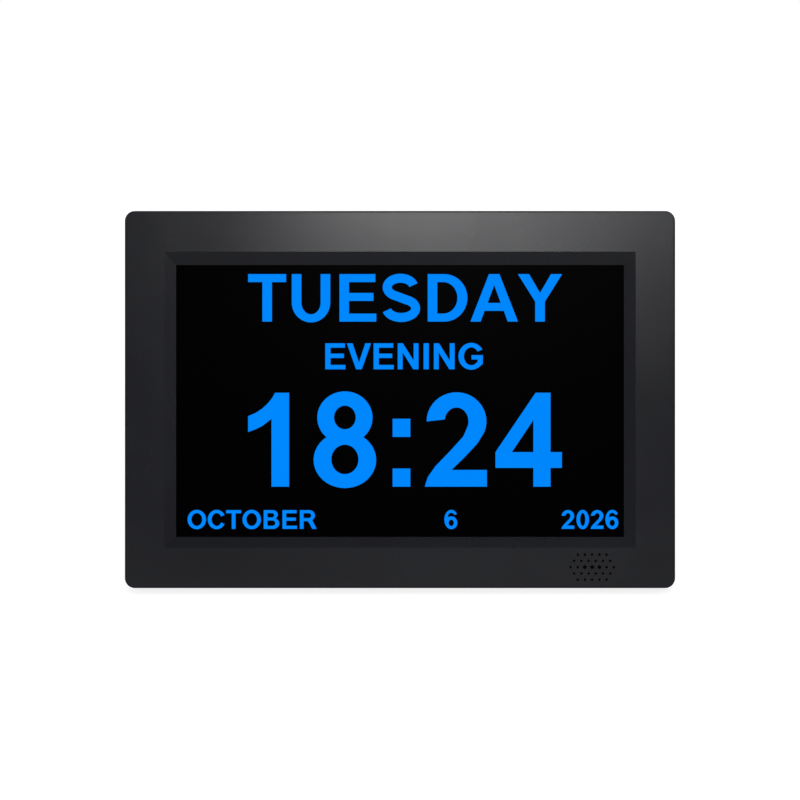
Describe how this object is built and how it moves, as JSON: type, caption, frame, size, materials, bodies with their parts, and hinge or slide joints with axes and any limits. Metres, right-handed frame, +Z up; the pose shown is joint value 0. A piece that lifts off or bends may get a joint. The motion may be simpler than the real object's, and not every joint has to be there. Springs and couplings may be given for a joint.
{
  "type": "day clock",
  "caption": "Desk or wall day clock: wide colour display in a moulded two-part housing with a fold-out stand leg, wall hooks and a row of push buttons.",
  "frame": {"origin": "bottom centre of the bounding box, on the table the clock stands on", "axes": "+X to the right seen from the front, +Y from the display to the back, +Z up; the housing leans back 14 degrees"},
  "size_m": [0.22, 0.0672, 0.1492],
  "materials": {
    "front_shell": "satin charcoal-black moulded plastic",
    "rear_shell": "fine-grained black moulded plastic",
    "screw_steel": "black-zinc steel screws",
    "foam": "closed-cell foam",
    "display_face": "anti-glare black polariser over a lit display",
    "clear_glass": "thin display glass",
    "chip": "moulded epoxy",
    "film": "white diffuser film",
    "clear_acrylic": "clear acrylic",
    "led_yellow": "white LEDs with yellow phosphor on a white strip",
    "white_plastic": "white moulded plastic",
    "plated_sheet": "tin-plated sheet steel",
    "amber_film": "amber flexible circuit",
    "board": "green solder mask",
    "capacitor_can": "bare aluminium can",
    "ivory_plastic": "ivory moulded plastic",
    "socket_black": "black moulded socket",
    "contact": "nickel-plated contact",
    "cell": "nickel-plated cell can",
    "switch_black": "black switch housing",
    "plunger_red": "red switch plunger",
    "grey_ribbon": "grey ribbon cable",
    "speaker_metal": "grey pressed basket",
    "speaker_cone": "black paper cone",
    "magnet": "plated magnet",
    "wire": "insulated stranded wire",
    "pin_steel": "ground steel pin",
    "button_black": "satin black button cap",
    "foot_rubber": "matt black rubber"
  },
  "bodies": {
    "housing": {"front_bezel": "front_shell", "rear_cover": "rear_shell", "housing_screws": "screw_steel", "display_gasket": "foam", "front_polariser": "display_face", "colour_filter_glass": "clear_glass", "tft_glass": "clear_glass", "driver_chips": "chip", "optical_films": "film", "light_guide": "clear_acrylic", "led_strip": "led_yellow", "reflector_sheet": "film", "display_mould_frame": "white_plastic", "display_back_can": "plated_sheet", "display_ribbon": "amber_film", "display_brackets": "plated_sheet", "bracket_screws": "screw_steel", "main_board": "board", "processor": "chip", "memory_chips": "chip", "power_inductors": "chip", "capacitors": "capacitor_can", "quartz_crystal": "capacitor_can", "board_connectors": "ivory_plastic", "dc_jack_body": "socket_black", "dc_jack_contact": "contact", "usb_socket_shell": "plated_sheet", "usb_socket_tongue": "white_plastic", "card_socket": "plated_sheet", "cell_holder": "socket_black", "coin_cell": "cell", "board_screws": "screw_steel", "key_board": "board", "key_switches": "switch_black", "key_board_screws": "screw_steel", "key_ribbon": "grey_ribbon", "speaker_basket": "speaker_metal", "speaker_cone": "speaker_cone", "speaker_magnet": "magnet", "speaker_seal": "foam", "speaker_lead": "wire", "hinge_pin": "pin_steel", "hinge_washers": "pin_steel"},
    "stand": {"stand_leg": "rear_shell", "stand_foot": "foot_rubber"},
    "key_1": {"button_1": "button_black", "plunger_1": "plunger_red"},
    "key_2": {"button_2": "button_black", "plunger_2": "plunger_red"},
    "key_3": {"button_3": "button_black", "plunger_3": "plunger_red"},
    "key_4": {"button_4": "button_black", "plunger_4": "plunger_red"},
    "key_5": {"button_5": "button_black", "plunger_5": "plunger_red"},
    "key_6": {"button_6": "button_black", "plunger_6": "plunger_red"},
    "key_7": {"button_7": "button_black", "plunger_7": "plunger_red"}
  },
  "joints": [
    {"name": "stand_hinge", "type": "hinge", "parent": "housing", "child": "stand", "pos_m": [0, 0.00864, 0.077], "axis": [-1, 0, 0], "range_deg": [0, 29.86]},
    {"name": "button_1_press", "type": "slide", "parent": "housing", "child": "key_1", "axis": [0, -0.9703, 0.2419], "range_m": [0, 0.0005], "stiffness_N_per_m": 600, "springref_m": -0.0005},
    {"name": "button_2_press", "type": "slide", "parent": "housing", "child": "key_2", "axis": [0, -0.9703, 0.2419], "range_m": [0, 0.0005], "stiffness_N_per_m": 600, "springref_m": -0.0005},
    {"name": "button_3_press", "type": "slide", "parent": "housing", "child": "key_3", "axis": [0, -0.9703, 0.2419], "range_m": [0, 0.0005], "stiffness_N_per_m": 600, "springref_m": -0.0005},
    {"name": "button_4_press", "type": "slide", "parent": "housing", "child": "key_4", "axis": [0, -0.9703, 0.2419], "range_m": [0, 0.0005], "stiffness_N_per_m": 600, "springref_m": -0.0005},
    {"name": "button_5_press", "type": "slide", "parent": "housing", "child": "key_5", "axis": [0, -0.9703, 0.2419], "range_m": [0, 0.0005], "stiffness_N_per_m": 600, "springref_m": -0.0005},
    {"name": "button_6_press", "type": "slide", "parent": "housing", "child": "key_6", "axis": [0, -0.9703, 0.2419], "range_m": [0, 0.0005], "stiffness_N_per_m": 600, "springref_m": -0.0005},
    {"name": "button_7_press", "type": "slide", "parent": "housing", "child": "key_7", "axis": [0, -0.9703, 0.2419], "range_m": [0, 0.0005], "stiffness_N_per_m": 600, "springref_m": -0.0005}
  ]
}
